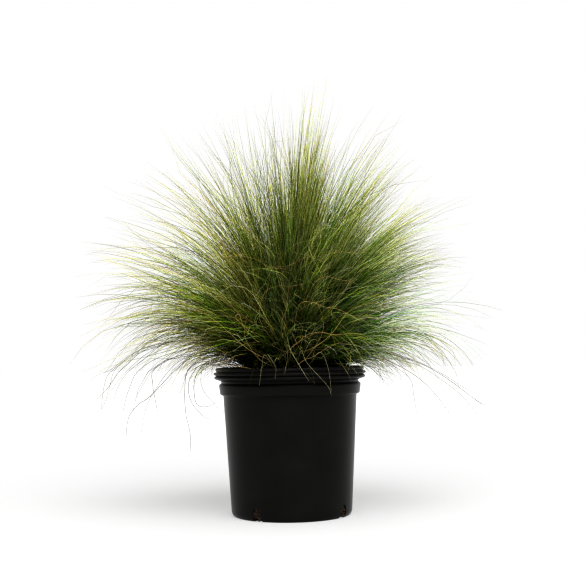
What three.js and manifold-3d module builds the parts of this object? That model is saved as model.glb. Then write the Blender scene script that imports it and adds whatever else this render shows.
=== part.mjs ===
// Mexican feather grass (Nassella tenuissima) growing in a round black nursery pot.
// Millimetres, +Z up. The origin is the centre of the pot's foot, on the surface it stands on.
//
// The pot holds a root ball of potting mix. Every tuft of the tussock is a mesh of its own: a slim
// pleated sheath that stands in a plain hole of the root ball, and thread-like blades that grow out
// of it. Green tufts fan from upright in the centre to trailing at the rim, and dry straw-coloured
// bunches grow between the outermost ones.

import * as THREE from "three";
import { mergeVertices } from "three/addons/utils/BufferGeometryUtils.js";
import Module from "manifold-3d";

const wasm = await Module();
wasm.setup();

// ---- driving dimensions ----

const POT = {
  height: 158.5,
  lipRadius: 82.5,
  footRadius: 65,
  bodyTopRadius: 72.2,
  bodyTopZ: 128.5,
  wall: 1.4,
  floorZ: 3.6,
  sides: 36,
};
const DRAIN = { count: 4, firstAzimuth: -124, width: 11, height: 14, depth: 16 };
const ROOT_BALL = { topZ: 143, gap: 0.35, relief: 1.6, crownRadius: 50, lumpRadius: 70 };

// Rings of tufts from the centre outwards, each evenly spaced round the crown and counted
// anticlockwise from +X. radius is the ring's radius, first the azimuth of its first tuft, spread
// the half angle of a tuft's fan, reach its longest blade and blades their number. leans holds each
// tuft's mean angle from upright. Angles are in degrees.
const RINGS = [
  { node: "tuft_centre", radius: 0, first: 0, reach: 328, spread: 9, blades: 14, leans: [2] },
  {
    ...{ node: "tuft_inner", radius: 11, first: 30, reach: 312, spread: 12, blades: 10 },
    leans: [26, 20, 25, 23, 17, 29],
  },
  {
    ...{ node: "tuft_middle", radius: 22, first: 0, reach: 278, spread: 12, blades: 8 },
    leans: [57, 52, 45, 48, 50, 59, 48, 43, 45, 57],
  },
  {
    ...{ node: "tuft_outer", radius: 33, first: 0, reach: 228, spread: 12, blades: 8 },
    leans: [94, 82, 76, 90, 76, 86, 76, 90, 78, 88, 76, 86, 76, 90],
  },
  {
    ...{ node: "straw_bunch", radius: 42, first: 12.9, reach: 206, spread: 18, blades: 5 },
    leans: [96, 98, 94, 98, 96, 100, 94],
  },
];
const SEED = 40;
const AZIMUTH_JITTER = 0.12; // as a share of the angle between neighbours in a ring
const REACH_JITTER = 0.05;

// A sheath is the slim bundle of leaf bases that a tuft's blades stand out of. Its swell is its
// thickness at each station, from the bottom of its hole to where it thins out among the blades.
const SHEATH = { radius: 3.5, sides: 6, pleat: 0.74, depth: 9, neck: 3, length: 0.36 };
const SHEATH_SWELL = [1, 1.05, 1.25, 0.95, 0.25];
const SHEATH_ROOT_LEAN = 0.5; // shares of its tuft's lean
const SHEATH_TIP_LEAN = 0.95;
const HOLE_GAP = 0.35;

const BLADE = { rootHalfWidth: 0.62, tipHalfWidth: 0.4, face: 0.6, keel: 1.1, steps: 4 };
const BEND = 1.15; // above 1, a blade bends more towards its tip
const ROOT_LEAN = 0.6; // a blade's lean at its root and at its tip, as shares of its mean lean
const TIP_LEAN = 1.45;
const MOST_LEAN = 150; // degrees
const SWAY = 16; // how far a blade may turn aside along its length, degrees
const SHORTEST = 0.6; // the shortest blade, as a share of the longest

// How far blades stay from each other, from the root ball and from the pot's lip.
const CLEARANCE = { blade: 0.35, rootBall: 0.3, lipAbove: 1, lipBeside: 2.5, lipInside: 13 };
const DRAWS = { clearOfAll: 40, clearOfOthers: 20 };

// ---- small helpers ----

const radians = THREE.MathUtils.degToRad;

// Repeatable random numbers from 0 to 1 (mulberry32).
function randomFrom(seed) {
  let state = seed >>> 0;
  return () => {
    state = (state + 0x6d2b79f5) >>> 0;
    let t = state;
    t = Math.imul(t ^ (t >>> 15), t | 1);
    t ^= t + Math.imul(t ^ (t >>> 7), t | 61);
    return ((t ^ (t >>> 14)) >>> 0) / 4294967296;
  };
}

// A closed geometry as a manifold-3d solid, turned right side out.
function solidOf(geometry) {
  const bare = new THREE.BufferGeometry();
  bare.setAttribute("position", geometry.getAttribute("position").clone());
  bare.setIndex(geometry.getIndex());
  const merged = mergeVertices(bare, 1e-4);
  const index = merged.getIndex().array;
  const kept = [];
  for (let i = 0; i < index.length; i += 3) {
    const [a, b, c] = [index[i], index[i + 1], index[i + 2]];
    if (a !== b && b !== c && c !== a) kept.push(a, b, c);
  }
  const vertProperties = new Float32Array(merged.getAttribute("position").array);
  const make = (corners) => {
    const triVerts = new Uint32Array(corners);
    return new wasm.Manifold(new wasm.Mesh({ numProp: 3, vertProperties, triVerts }));
  };
  const made = make(kept);
  return made.volume() > 0 ? made : make(kept.reverse());
}

function geometryOf(solid) {
  const mesh = solid.getMesh();
  const geometry = new THREE.BufferGeometry();
  geometry.setAttribute("position", new THREE.BufferAttribute(mesh.vertProperties, 3));
  geometry.setIndex(new THREE.BufferAttribute(mesh.triVerts, 1));
  const flat = geometry.toNonIndexed();
  flat.computeVertexNormals();
  return flat;
}

// A closed geometry from rings of points with the same number of sides. A last ring of one point
// closes the end to a tip.
function loft(rings) {
  const sides = rings[0].length;
  const faces = [];
  for (let k = 1; k < sides - 1; k += 1) faces.push(0, k + 1, k);
  rings.slice(1).forEach((ring, i) => {
    const low = i * sides;
    const high = low + sides;
    for (let k = 0; k < sides; k += 1) {
      const next = (k + 1) % sides;
      if (ring.length === 1) {
        faces.push(low + k, low + next, high);
      } else {
        faces.push(low + k, low + next, high + next, low + k, high + next, high + k);
      }
    }
  });
  if (rings[rings.length - 1].length > 1) {
    const end = (rings.length - 1) * sides;
    for (let k = 1; k < sides - 1; k += 1) faces.push(end, end + k, end + k + 1);
  }
  const geometry = new THREE.BufferGeometry().setFromPoints(rings.flat());
  geometry.setIndex(faces);
  return geometry;
}

// A closed solid turned about +Z from its [radius, z] profile, which starts and ends on the axis.
function turned(profile) {
  const points = profile.map(([radius, z]) => new THREE.Vector2(radius, z));
  return new THREE.LatheGeometry(points, POT.sides).rotateX(Math.PI / 2);
}

// ---- pot ----

function bodyRadius(z) {
  return THREE.MathUtils.mapLinear(z, POT.floorZ, POT.bodyTopZ, POT.footRadius, POT.bodyTopRadius);
}

// From the centre of the base, round the foot, up the wall and over the lip, then down the inside.
// The lip carries three stacking ridges, and a plain band runs below it.
function potProfile() {
  const lip = POT.lipRadius;
  const outside = [
    [0, 0],
    [24, 0],
    [27, 1.8],
    [48, 1.8],
    [51, 0],
    [POT.footRadius - 2, 0],
    [POT.footRadius, POT.floorZ],
    [POT.bodyTopRadius, POT.bodyTopZ],
    [lip - 6.9, 130],
    [lip - 5.6, 140.2],
    [lip - 8.2, 142],
    [lip - 8, 144.2],
    [lip - 0.8, 146.8],
    [lip - 0.6, 148.8],
    [lip - 3, 149.9],
    [lip, 151.2],
    [lip, 153],
    [lip - 3.2, 154.1],
    [lip - 2, 155.4],
    [lip - 2, 157.4],
    [lip - 3.4, POT.height],
  ];
  const inside = [
    [lip - 5, POT.height],
    [lip - 9.7, 144],
    [bodyRadius(POT.bodyTopZ) - POT.wall, POT.bodyTopZ],
    [bodyRadius(POT.floorZ) - POT.wall, POT.floorZ],
    [0, POT.floorZ],
  ];
  return [...outside, ...inside];
}

// An arch-shaped cutter through the corner between the wall and the base, at azimuth degrees.
function drainCutter(azimuth) {
  const half = DRAIN.width / 2;
  const arch = new THREE.Shape();
  arch.moveTo(-half, -1);
  arch.lineTo(half, -1);
  arch.lineTo(half, DRAIN.height - half);
  arch.absarc(0, DRAIN.height - half, half, 0, Math.PI, false);
  const settings = { depth: DRAIN.depth, bevelEnabled: false, curveSegments: 3 };
  const cutter = new THREE.ExtrudeGeometry(arch, settings);
  const outward = new THREE.Vector3(Math.cos(radians(azimuth)), Math.sin(radians(azimuth)), 0);
  const up = new THREE.Vector3(0, 0, 1);
  const place = new THREE.Matrix4().makeBasis(up.clone().cross(outward), up, outward);
  place.setPosition(outward.multiplyScalar(POT.footRadius - DRAIN.depth / 2));
  return solidOf(cutter.applyMatrix4(place));
}

function potSolid() {
  const cutters = Array.from({ length: DRAIN.count }, (_, i) =>
    drainCutter(DRAIN.firstAzimuth + (360 / DRAIN.count) * i),
  );
  return solidOf(turned(potProfile())).subtract(wasm.Manifold.union(cutters));
}

// ---- root ball ----

// Low lumps of potting mix between the crown of the tussock and the pot's wall.
function lumpHeight(x, y) {
  const radius = Math.hypot(x, y);
  if (radius < ROOT_BALL.crownRadius || radius > ROOT_BALL.lumpRadius) return 0;
  const lumps = Math.sin(x * 0.21 + 1.1) * Math.cos(y * 0.17) + 0.5 * Math.sin((x - y) * 0.33);
  return ROOT_BALL.relief * (0.4 + 0.4 * lumps);
}

function rootBallSolid(tufts) {
  const { topZ, gap, crownRadius, lumpRadius } = ROOT_BALL;
  const bottom = POT.floorZ + gap;
  const inner = (z) => bodyRadius(z) - POT.wall - gap;
  const ball = turned([
    [0, bottom],
    [inner(bottom) - 0.2, bottom],
    [inner(POT.bodyTopZ) - 0.2, POT.bodyTopZ],
    [inner(POT.bodyTopZ) + 1, topZ],
    [(crownRadius + lumpRadius) / 2, topZ],
    [crownRadius - 1, topZ],
    [0, topZ],
  ]);
  const position = ball.getAttribute("position");
  for (let i = 0; i < position.count; i += 1) {
    const z = position.getZ(i);
    if (z > topZ - 0.01) position.setZ(i, z + lumpHeight(position.getX(i), position.getY(i)));
  }
  const swell = 1 + HOLE_GAP / SHEATH.radius;
  const holes = tufts.map((tuft) => {
    const from = tuft.root.clone().setZ(topZ - SHEATH.depth - HOLE_GAP);
    const to = tuft.root.clone().setZ(topZ + SHEATH.neck);
    return solidOf(loft([sheathRing(tuft, from, 0, swell), sheathRing(tuft, to, 0, swell)]));
  });
  return solidOf(ball).subtract(wasm.Manifold.union(holes));
}

// ---- tufts: layout and paths ----

// Where each tuft of a ring stands, which way it leans and how long its longest blade is.
function tuftsOf(ring, ringIndex) {
  const random = randomFrom(SEED + ringIndex);
  const step = 360 / ring.leans.length;
  return ring.leans.map((lean, i) => {
    const azimuth = ring.first + step * (i + AZIMUTH_JITTER * (2 * random() - 1));
    const reach = ring.reach * (1 + REACH_JITTER * (2 * random() - 1));
    const angle = radians(azimuth);
    const root = new THREE.Vector3(Math.cos(angle), Math.sin(angle), 0).multiplyScalar(ring.radius);
    root.z = ROOT_BALL.topZ;
    const name = ring.leans.length > 1 ? `${ring.node}_${i + 1}` : ring.node;
    return { name, root, azimuth, lean, reach, ring, random };
  });
}

// The points of a blade that leaves start and bends from rootLean to tipLean, all in degrees.
function bladePath(start, { heading, rootLean, tipLean, length, sway, steps }) {
  const points = [start.clone()];
  for (let i = 0; i < steps; i += 1) {
    const share = (i + 0.5) / steps;
    const lean = radians(rootLean + (tipLean - rootLean) * share ** BEND);
    const turn = radians(heading + sway * share);
    const way = new THREE.Vector3().setFromSphericalCoords(1, lean, turn);
    way.set(way.z, way.x, way.y);
    points.push(points[i].clone().addScaledVector(way, length / steps));
  }
  return points;
}

// The sheath stands upright in its hole, then leans over and thins out among the blades.
function sheathStations(tuft) {
  const bottom = tuft.root.clone().setZ(tuft.root.z - SHEATH.depth);
  const neck = tuft.root.clone().setZ(tuft.root.z + SHEATH.neck);
  const rise = bladePath(neck, {
    heading: tuft.azimuth,
    rootLean: tuft.lean * SHEATH_ROOT_LEAN,
    tipLean: tuft.lean * SHEATH_TIP_LEAN,
    length: tuft.reach * SHEATH.length,
    sway: 0,
    steps: SHEATH_SWELL.length - 2,
  });
  return [bottom, ...rise];
}

// ---- tufts: solids ----

// A pleated ring of the sheath: every second corner lies deeper.
function sheathRing(tuft, point, lean, swell) {
  const angle = radians(tuft.azimuth);
  const side = new THREE.Vector3(-Math.sin(angle), Math.cos(angle), 0);
  const front = new THREE.Vector3(Math.cos(angle), Math.sin(angle), 0);
  front.applyAxisAngle(side, lean);
  return Array.from({ length: SHEATH.sides }, (_, k) => {
    const turn = (2 * Math.PI * k) / SHEATH.sides;
    const radius = SHEATH.radius * swell * (k % 2 ? SHEATH.pleat : 1);
    const corner = point.clone().addScaledVector(front, radius * Math.cos(turn));
    return corner.addScaledVector(side, radius * Math.sin(turn));
  });
}

function sheathSolid(tuft) {
  const stations = sheathStations(tuft);
  const rings = stations.map((point, i) => {
    const from = stations[Math.max(i - 1, 0)];
    const to = stations[Math.min(i + 1, stations.length - 1)];
    const lean = i === 0 ? 0 : Math.acos((to.z - from.z) / to.distanceTo(from));
    return sheathRing(tuft, point, lean, SHEATH_SWELL[i]);
  });
  return solidOf(loft(rings));
}

function bladeHalfWidth(i) {
  return THREE.MathUtils.lerp(BLADE.rootHalfWidth, BLADE.tipHalfWidth, i / (BLADE.steps - 1));
}

// One blade: a rolled leaf of three sides that thins to a point.
function bladeSolid(points) {
  const rings = points.map((point, i) => {
    if (i === BLADE.steps) return [point];
    const way = points[i + 1].clone().sub(points[Math.max(i - 1, 0)]).normalize();
    const side = new THREE.Vector3(-way.y, way.x, 0).normalize();
    const keel = side.clone().cross(way);
    const half = bladeHalfWidth(i);
    const back = point.clone().addScaledVector(keel, half * BLADE.face);
    return [
      back.clone().addScaledVector(side, half),
      point.clone().addScaledVector(keel, -half * BLADE.keel),
      back.clone().addScaledVector(side, -half),
    ];
  });
  return solidOf(loft(rings));
}

// ---- tufts: clearance ----

// The least distance between the segments from a to b and from c to d.
function segmentGap(a, b, c, d) {
  const u = b.clone().sub(a);
  const v = d.clone().sub(c);
  const w = a.clone().sub(c);
  const [uu, uv, vv, uw, vw] = [u.dot(u), u.dot(v), v.dot(v), u.dot(w), v.dot(w)];
  const clamp = THREE.MathUtils.clamp;
  const denominator = Math.max(uu * vv - uv * uv, 1e-9);
  const first = clamp((uv * vw - vv * uw) / denominator, 0, 1);
  const t = clamp((uv * first + vw) / vv, 0, 1);
  const s = clamp((uv * t - uw) / uu, 0, 1);
  return w.addScaledVector(u, s).addScaledVector(v, -t).length();
}

// A strand is a row of points, each with the radius of the ball that holds the solid there.
function strandOf(points, radii, owner, isSheath) {
  const box = new THREE.Box3().setFromPoints(points).expandByScalar(Math.max(...radii) + 1);
  return { points, radii, owner, isSheath, box };
}

function strandsClear(one, other, firstSegment) {
  if (!one.box.intersectsBox(other.box)) return true;
  for (let i = firstSegment; i < one.points.length - 1; i += 1) {
    for (let k = 0; k < other.points.length - 1; k += 1) {
      const room = Math.max(one.radii[i], one.radii[i + 1]) + Math.max(other.radii[k], other.radii[k + 1]);
      const gap = segmentGap(one.points[i], one.points[i + 1], other.points[k], other.points[k + 1]);
      if (gap < room + CLEARANCE.blade) return false;
    }
  }
  return true;
}

// Whether a strand stays above the root ball and passes over the lip, not through it.
function potClear(strand) {
  const lowest = ROOT_BALL.topZ + ROOT_BALL.relief + CLEARANCE.rootBall;
  for (let i = 0; i < strand.points.length - 1; i += 1) {
    for (let share = 0; share <= 1; share += 0.1) {
      const point = strand.points[i].clone().lerp(strand.points[i + 1], share);
      const radius = Math.hypot(point.x, point.y);
      const overLip = radius > POT.lipRadius - CLEARANCE.lipInside;
      const least = overLip ? POT.height + CLEARANCE.lipAbove : lowest;
      const bottom = point.z - Math.max(strand.radii[i], strand.radii[i + 1]);
      if (radius < POT.lipRadius + CLEARANCE.lipBeside && bottom < least) return false;
    }
  }
  return true;
}

// ---- tufts: growth ----

// The sum of three draws, from -1 to 1, with most near 0.
function fanDraw(random) {
  return (2 * (random() + random() + random())) / 3 - 1;
}

function drawBlade(tuft, stations) {
  const { random, ring, lean, azimuth, reach } = tuft;
  const along = 1 + (stations.length - 2.4) * random() ** 1.4;
  const below = Math.floor(along);
  const start = stations[below].clone().lerp(stations[below + 1], along - below);
  const across = Math.max(Math.sin(radians(lean)), 0.25);
  const own = lean + ring.spread * 1.7 * fanDraw(random);
  return bladePath(start, {
    heading: azimuth + (ring.spread * 2 * fanDraw(random)) / across,
    rootLean: own * ROOT_LEAN,
    tipLean: Math.min(own * TIP_LEAN, MOST_LEAN),
    length: reach * THREE.MathUtils.lerp(SHORTEST, 1, random()) - start.distanceTo(stations[1]),
    sway: SWAY * (2 * random() - 1),
    steps: BLADE.steps,
  });
}

// Draws each blade until one is clear of the pot, of the other tufts and, if it can be, of its own.
function growTuft(tuft, strands) {
  const stations = sheathStations(tuft);
  const solids = [sheathSolid(tuft)];
  const slack = Math.hypot(1, BLADE.face);
  const radii = stations.map((_, i) => slack * bladeHalfWidth(Math.min(i, BLADE.steps - 1)));
  for (let n = 0; n < tuft.ring.blades; n += 1) {
    for (let draw = 0; draw < DRAWS.clearOfAll + DRAWS.clearOfOthers; draw += 1) {
      const points = drawBlade(tuft, stations);
      const strand = strandOf(points, radii, tuft.name, false);
      const clear = strands.every((other) => {
        if (other.owner !== tuft.name) return strandsClear(strand, other, 0);
        return other.isSheath || draw >= DRAWS.clearOfAll || strandsClear(strand, other, 1);
      });
      if (!clear || !potClear(strand)) continue;
      strands.push(strand);
      solids.push(bladeSolid(points));
      break;
    }
  }
  return wasm.Manifold.union(solids);
}

// ---- assembly ----

function plastic(color, roughness) {
  return new THREE.MeshStandardMaterial({ color, roughness, metalness: 0 });
}

const blackPlastic = plastic(0x1c1c1a, 0.5);
const pottingMix = plastic(0x33261b, 0.95);
const greenBlade = plastic(0x73853f, 0.6);
const strawBlade = plastic(0xc4ab72, 0.7);

const tufts = RINGS.flatMap(tuftsOf);
const strands = tufts.map((tuft) => {
  const radii = SHEATH_SWELL.map((swell) => swell * SHEATH.radius);
  return strandOf(sheathStations(tuft), radii, tuft.name, true);
});

const tussock = new THREE.Group();
for (const tuft of tufts) {
  const geometry = geometryOf(growTuft(tuft, strands));
  geometry.translate(-tuft.root.x, -tuft.root.y, -tuft.root.z);
  const mesh = new THREE.Mesh(geometry, tuft.ring.node === "straw_bunch" ? strawBlade : greenBlade);
  mesh.name = tuft.name;
  mesh.position.copy(tuft.root);
  tussock.add(mesh);
}

const pot = new THREE.Mesh(geometryOf(potSolid()), blackPlastic);
pot.name = "nursery_pot";
const rootBall = new THREE.Mesh(geometryOf(rootBallSolid(tufts)), pottingMix);
rootBall.name = "root_ball";

const grassInPot = new THREE.Group();
grassInPot.add(pot, rootBall, tussock);

export default grassInPot;
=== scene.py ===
"""Looks of a Mexican feather grass in a black nursery pot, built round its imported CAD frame.

Each CAD tuft is replaced by one with many more, thread-like blades. It stands in the same place and
reaches about as far. It leans as the CAD tuft does, apart from the turns and tilts in RINGS and from
FRONT_LIFT. Lengths are in metres, +Z is up, and the viewer stands on the -Y side.
"""

import math

import bpy
import numpy as np
from mathutils import Matrix, Vector


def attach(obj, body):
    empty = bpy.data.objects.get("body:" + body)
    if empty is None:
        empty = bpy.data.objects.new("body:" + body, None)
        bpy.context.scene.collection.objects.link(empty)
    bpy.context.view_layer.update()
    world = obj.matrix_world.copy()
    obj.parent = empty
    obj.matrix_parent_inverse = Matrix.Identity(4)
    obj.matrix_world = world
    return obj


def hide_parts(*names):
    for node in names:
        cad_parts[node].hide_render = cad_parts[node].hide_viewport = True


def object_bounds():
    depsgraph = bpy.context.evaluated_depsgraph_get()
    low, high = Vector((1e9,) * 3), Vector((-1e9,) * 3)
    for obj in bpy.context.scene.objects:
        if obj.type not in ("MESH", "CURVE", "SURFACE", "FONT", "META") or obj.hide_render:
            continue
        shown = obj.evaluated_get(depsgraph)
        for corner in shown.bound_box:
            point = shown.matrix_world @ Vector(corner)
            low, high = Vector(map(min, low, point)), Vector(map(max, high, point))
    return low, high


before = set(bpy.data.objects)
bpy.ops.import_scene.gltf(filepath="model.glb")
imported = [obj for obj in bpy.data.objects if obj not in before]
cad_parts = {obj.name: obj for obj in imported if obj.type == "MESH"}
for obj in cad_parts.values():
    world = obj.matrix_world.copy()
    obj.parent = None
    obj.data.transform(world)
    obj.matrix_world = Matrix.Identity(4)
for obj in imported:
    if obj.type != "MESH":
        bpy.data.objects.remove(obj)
cad_low, cad_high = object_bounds()

MM = 0.001

# ---- driving dimensions, as in the CAD source ----

POT_HEIGHT = 158.5 * MM
LIP_RADIUS = 82.5 * MM
FOOT_RADIUS = 65 * MM
BODY_TOP_RADIUS = 72.2 * MM
BODY_TOP_Z = 128.5 * MM
WALL = 1.4 * MM
FLOOR_Z = 3.6 * MM
DRAIN_COUNT = 4
DRAIN_FIRST_AZIMUTH = -124
DRAIN_WIDTH = 11 * MM
DRAIN_HEIGHT = 14 * MM
DRAIN_DEPTH = 16 * MM
SOIL_Z = 143 * MM
SOIL_GAP = 0.35 * MM

# Rings of tufts, counted anticlockwise from +X. As in the CAD source, radius is how far from the axis
# the tufts are rooted, first the azimuth of the first one, reach the mean length of a tuft's longest
# blade, and leans each tuft's angle from upright. Angles are in degrees. The rest is for the fine
# blades of a ring:
#   blades    number of blades in a tuft whose fill is 1
#   stations  points along a blade
#   spread    how wide a tuft fans out
#   stray     share of blades that curl their own way
#   tone      brightness of the live blades; a straw bunch has none
#   front     brightness of a tuft that points at the viewer, as a share of its own, as painted shade
# and for each of its tufts:
#   fill      number of blades, as a share of blades
#   locks     number of locks that it is parted into
#   tight     how wide it fans out, as a share of spread
#   turns     how far anticlockwise of its CAD tuft it heads
#   tilts     how much further than its CAD tuft it leans
RINGS = [
    dict(node="tuft_centre", radius=0, first=0, reach=328 * MM, blades=1950, stations=9,
         spread=3.2, stray=0.03, tone=0.62, front=1,
         leans=[2], fill=[1], locks=[20], tight=[1], turns=[0], tilts=[7.5]),
    dict(node="tuft_inner", radius=11 * MM, first=30, reach=312 * MM, blades=640, stations=9,
         spread=7.5, stray=0.05, tone=0.78, front=0.5,
         leans=[26, 20, 25, 23, 17, 29],
         fill=[1.9, 1.4, 1.2, 1.2, 1.5, 1.3],
         locks=[8, 12, 12, 12, 12, 8],
         tight=[0.6, 1, 1, 1, 1, 0.7],
         turns=[0, -20, 0, 0, 25, 0],
         tilts=[0] * 6),
    dict(node="tuft_middle", radius=22 * MM, first=0, reach=278 * MM, blades=540, stations=11,
         spread=9, stray=0.07, tone=1, front=0.5,
         leans=[57, 52, 45, 48, 50, 59, 48, 43, 45, 57],
         fill=[1.25, 1.7, 1.1, 0.9, 0.75, 0.75, 0.75, 1, 1.1, 1.25],
         locks=[3, 3, 6, 7, 7, 7, 7, 7, 5, 3],
         tight=[0.6, 0.5, 1, 1, 1, 1, 1, 1, 1, 0.6],
         turns=[0] * 10,
         tilts=[-10, -8, 0, 0, 5, 7, 5, 0, 0, -8]),
    dict(node="tuft_outer", radius=33 * MM, first=0, reach=228 * MM, blades=190, stations=11,
         spread=10, stray=0.14, tone=1.6, front=1,
         leans=[94, 82, 76, 90, 76, 86, 76, 90, 78, 88, 76, 86, 76, 90],
         fill=[1.1, 0.9, 0.8, 1, 0.7, 0.5, 0.35, 0.45, 0.2, 0.2, 0.7, 0.8, 0.8, 1.1],
         locks=[4, 4, 6, 6, 6, 6, 6, 6, 6, 6, 6, 6, 4, 4],
         tight=[1] * 14,
         turns=[0] * 14,
         tilts=[4, 4, 0, 0, 0, -4, -10, -16, -14, -8, 0, 0, 0, 2]),
    dict(node="straw_bunch", radius=42 * MM, first=12.9, reach=206 * MM, blades=30, stations=11,
         spread=14, stray=0.25, tone=1, front=1,
         leans=[96, 98, 94, 98, 96, 100, 94],
         fill=[1, 1, 1, 0.5, 0.5, 0.5, 0.7],
         locks=[5] * 7, tight=[1] * 7, turns=[0] * 7, tilts=[0] * 7),
]
# The seed and the jitters of the layout, as in the CAD source.
SEED = 40
AZIMUTH_JITTER = 0.12
REACH_JITTER = 0.05
# Seeds of what only this scene draws. A tuft adds its own number to the first two.
BLADE_SEED = 1000
LOCK_SEED = 2000
WISP_SEED = 5
ROOT_BALL_SEED = 7
SOIL_SURFACE_SEED = 8
DRAIN_SEED = 9
ROUND = 6.28  # about a whole turn in radians, for random turns


def random_from(seed):
    """The CAD source's repeatable random numbers from 0 to 1 (mulberry32)."""
    mask = 0xFFFFFFFF
    state = seed & mask
    while True:
        state = (state + 0x6D2B79F5) & mask
        t = state
        t = ((t ^ (t >> 15)) * (t | 1)) & mask
        t ^= (t + (((t ^ (t >> 7)) * (t | 61)) & mask)) & mask
        yield ((t ^ (t >> 14)) & mask) / 4294967296


def tufts_of(ring, ring_index):
    """The tufts of a ring, laid out as in the CAD source and then turned and tilted as RINGS says."""
    draw = random_from(SEED + ring_index)
    count = len(ring["leans"])
    step = 360 / count
    tufts = []
    for i, lean in enumerate(ring["leans"]):
        azimuth = ring["first"] + step * (i + AZIMUTH_JITTER * (2 * next(draw) - 1))
        reach = ring["reach"] * (1 + REACH_JITTER * (2 * next(draw) - 1))
        angle = math.radians(azimuth)
        root = np.array([math.cos(angle), math.sin(angle), 0]) * ring["radius"]
        name = f"{ring['node']}_{i + 1}" if count > 1 else ring["node"]
        tufts.append(dict(node=name, azimuth=azimuth + ring["turns"][i], lean=lean + ring["tilts"][i],
                          reach=reach, root=root, ring=ring, locks=ring["locks"][i],
                          spread=ring["spread"] * ring["tight"][i],
                          blades=int(ring["blades"] * ring["fill"][i])))
    return tufts


# ---- node materials ----


class Nodes:
    """A short way to build one material's node tree."""

    def __init__(self, name):
        self.material = bpy.data.materials.new(name)
        self.material.use_nodes = True
        self.tree = self.material.node_tree
        self.shader = self.tree.nodes["Principled BSDF"]

    def add(self, kind, inputs=None, **settings):
        """A node of this kind, with values or sockets for its inputs and its own settings."""
        node = self.tree.nodes.new(kind)
        for key, value in settings.items():
            setattr(node, key, value)
        for key, value in (inputs or {}).items():
            self.put(node.inputs[key], value)
        return node

    def put(self, socket, value):
        """Links value to the socket if it is a socket too, and otherwise sets it there."""
        if isinstance(value, bpy.types.NodeSocket):
            self.tree.links.new(value, socket)
        else:
            socket.default_value = value

    def noise(self, scale, detail=2.0, stretch=None):
        """Noise in object space, in cycles a metre; stretch scales its axes."""
        place = self.add("ShaderNodeTexCoord").outputs["Object"]
        if stretch:
            mapping = self.add("ShaderNodeMapping", {"Vector": place, "Scale": stretch})
            place = mapping.outputs["Vector"]
        settings = {"Vector": place, "Scale": scale, "Detail": detail}
        return self.add("ShaderNodeTexNoise", settings).outputs["Fac"]

    def ramp(self, fac, stops):
        """A colour ramp of (position, (r, g, b)) stops."""
        node = self.add("ShaderNodeValToRGB", {"Fac": fac})
        elements = node.color_ramp.elements
        while len(elements) < len(stops):
            elements.new(0.5)
        for element, (position, colour) in zip(elements, stops):
            element.position = position
            element.color = (*colour, 1)
        return node.outputs["Color"]

    def range(self, value, low, high):
        """value, from 0 to 1, as a number from low to high."""
        node = self.add("ShaderNodeMapRange", {"Value": value, "To Min": low, "To Max": high})
        return node.outputs["Result"]

    def bump(self, height, distance, strength=1.0):
        """A normal that rises by distance, in metres, where height is 1."""
        settings = {"Height": height, "Distance": distance, "Strength": strength}
        return self.add("ShaderNodeBump", settings).outputs["Normal"]


def blade_material(name, roughness, through):
    """Leaf painted along each blade, finely streaked; through is the share of light it lets by."""
    n = Nodes(name)
    colour = n.add("ShaderNodeAttribute", attribute_name="blade_colour").outputs["Color"]
    streak = n.noise(900, 1.0)
    shade = n.add("ShaderNodeMix", {"Factor": 0.35}, data_type="RGBA", blend_type="MULTIPLY")
    n.put(shade.inputs["A"], colour)
    n.put(shade.inputs["B"], n.ramp(streak, [(0.3, (0.55, 0.55, 0.5)), (0.7, (1.25, 1.25, 1.2))]))
    n.put(n.shader.inputs["Base Color"], shade.outputs["Result"])
    n.put(n.shader.inputs["Roughness"], n.range(streak, roughness - 0.1, roughness + 0.1))
    n.shader.inputs["Specular IOR Level"].default_value = 0.02
    glow = n.add("ShaderNodeGamma", {"Color": shade.outputs["Result"], "Gamma": 0.75})
    warm = n.add("ShaderNodeMix", {"Factor": 1.0}, data_type="RGBA", blend_type="MULTIPLY")
    n.put(warm.inputs["A"], glow.outputs["Color"])
    n.put(warm.inputs["B"], (1.2, 1.3, 0.75, 1))
    lit_behind = n.add("ShaderNodeBsdfTranslucent", {"Color": warm.outputs["Result"]})
    mix = n.add("ShaderNodeMixShader", {0: through, 1: n.shader.outputs[0], 2: lit_behind.outputs[0]})
    n.put(n.tree.nodes["Material Output"].inputs["Surface"], mix.outputs[0])
    return n.material


def pot_material():
    """Satin black moulded plastic with faint flow marks, cloudy dust and a fine grain."""
    n = Nodes("black_plastic")
    cloud = n.noise(28, 5.0)
    flow = n.noise(60, 3.0, (1, 1, 0.08))
    grain = n.noise(2600, 2.0)
    n.put(n.shader.inputs["Base Color"], n.ramp(cloud, [
        (0.3, (0.0062, 0.0062, 0.0054)), (0.62, (0.0088, 0.0086, 0.0076)), (0.85, (0.016, 0.015, 0.013))]))
    n.put(n.shader.inputs["Roughness"], n.range(flow, 0.24, 0.34))
    n.shader.inputs["Specular IOR Level"].default_value = 0.1
    mixed = n.add("ShaderNodeMath", {0: grain, 1: flow}, operation="ADD").outputs["Value"]
    n.put(n.shader.inputs["Normal"], n.bump(mixed, 0.05 * MM, 0.5))
    return n.material


def soil_material():
    """Moist potting mix: crumbs from nearly black to brown."""
    n = Nodes("potting_mix")
    crumbs = n.noise(420, 6.0)
    n.put(n.shader.inputs["Base Color"], n.ramp(crumbs, [
        (0.35, (0.012, 0.0065, 0.0035)), (0.55, (0.045, 0.022, 0.011)), (0.75, (0.12, 0.058, 0.028))]))
    n.put(n.shader.inputs["Roughness"], n.range(crumbs, 0.75, 0.95))
    n.put(n.shader.inputs["Normal"], n.bump(crumbs, 0.8 * MM, 0.9))
    return n.material


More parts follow.
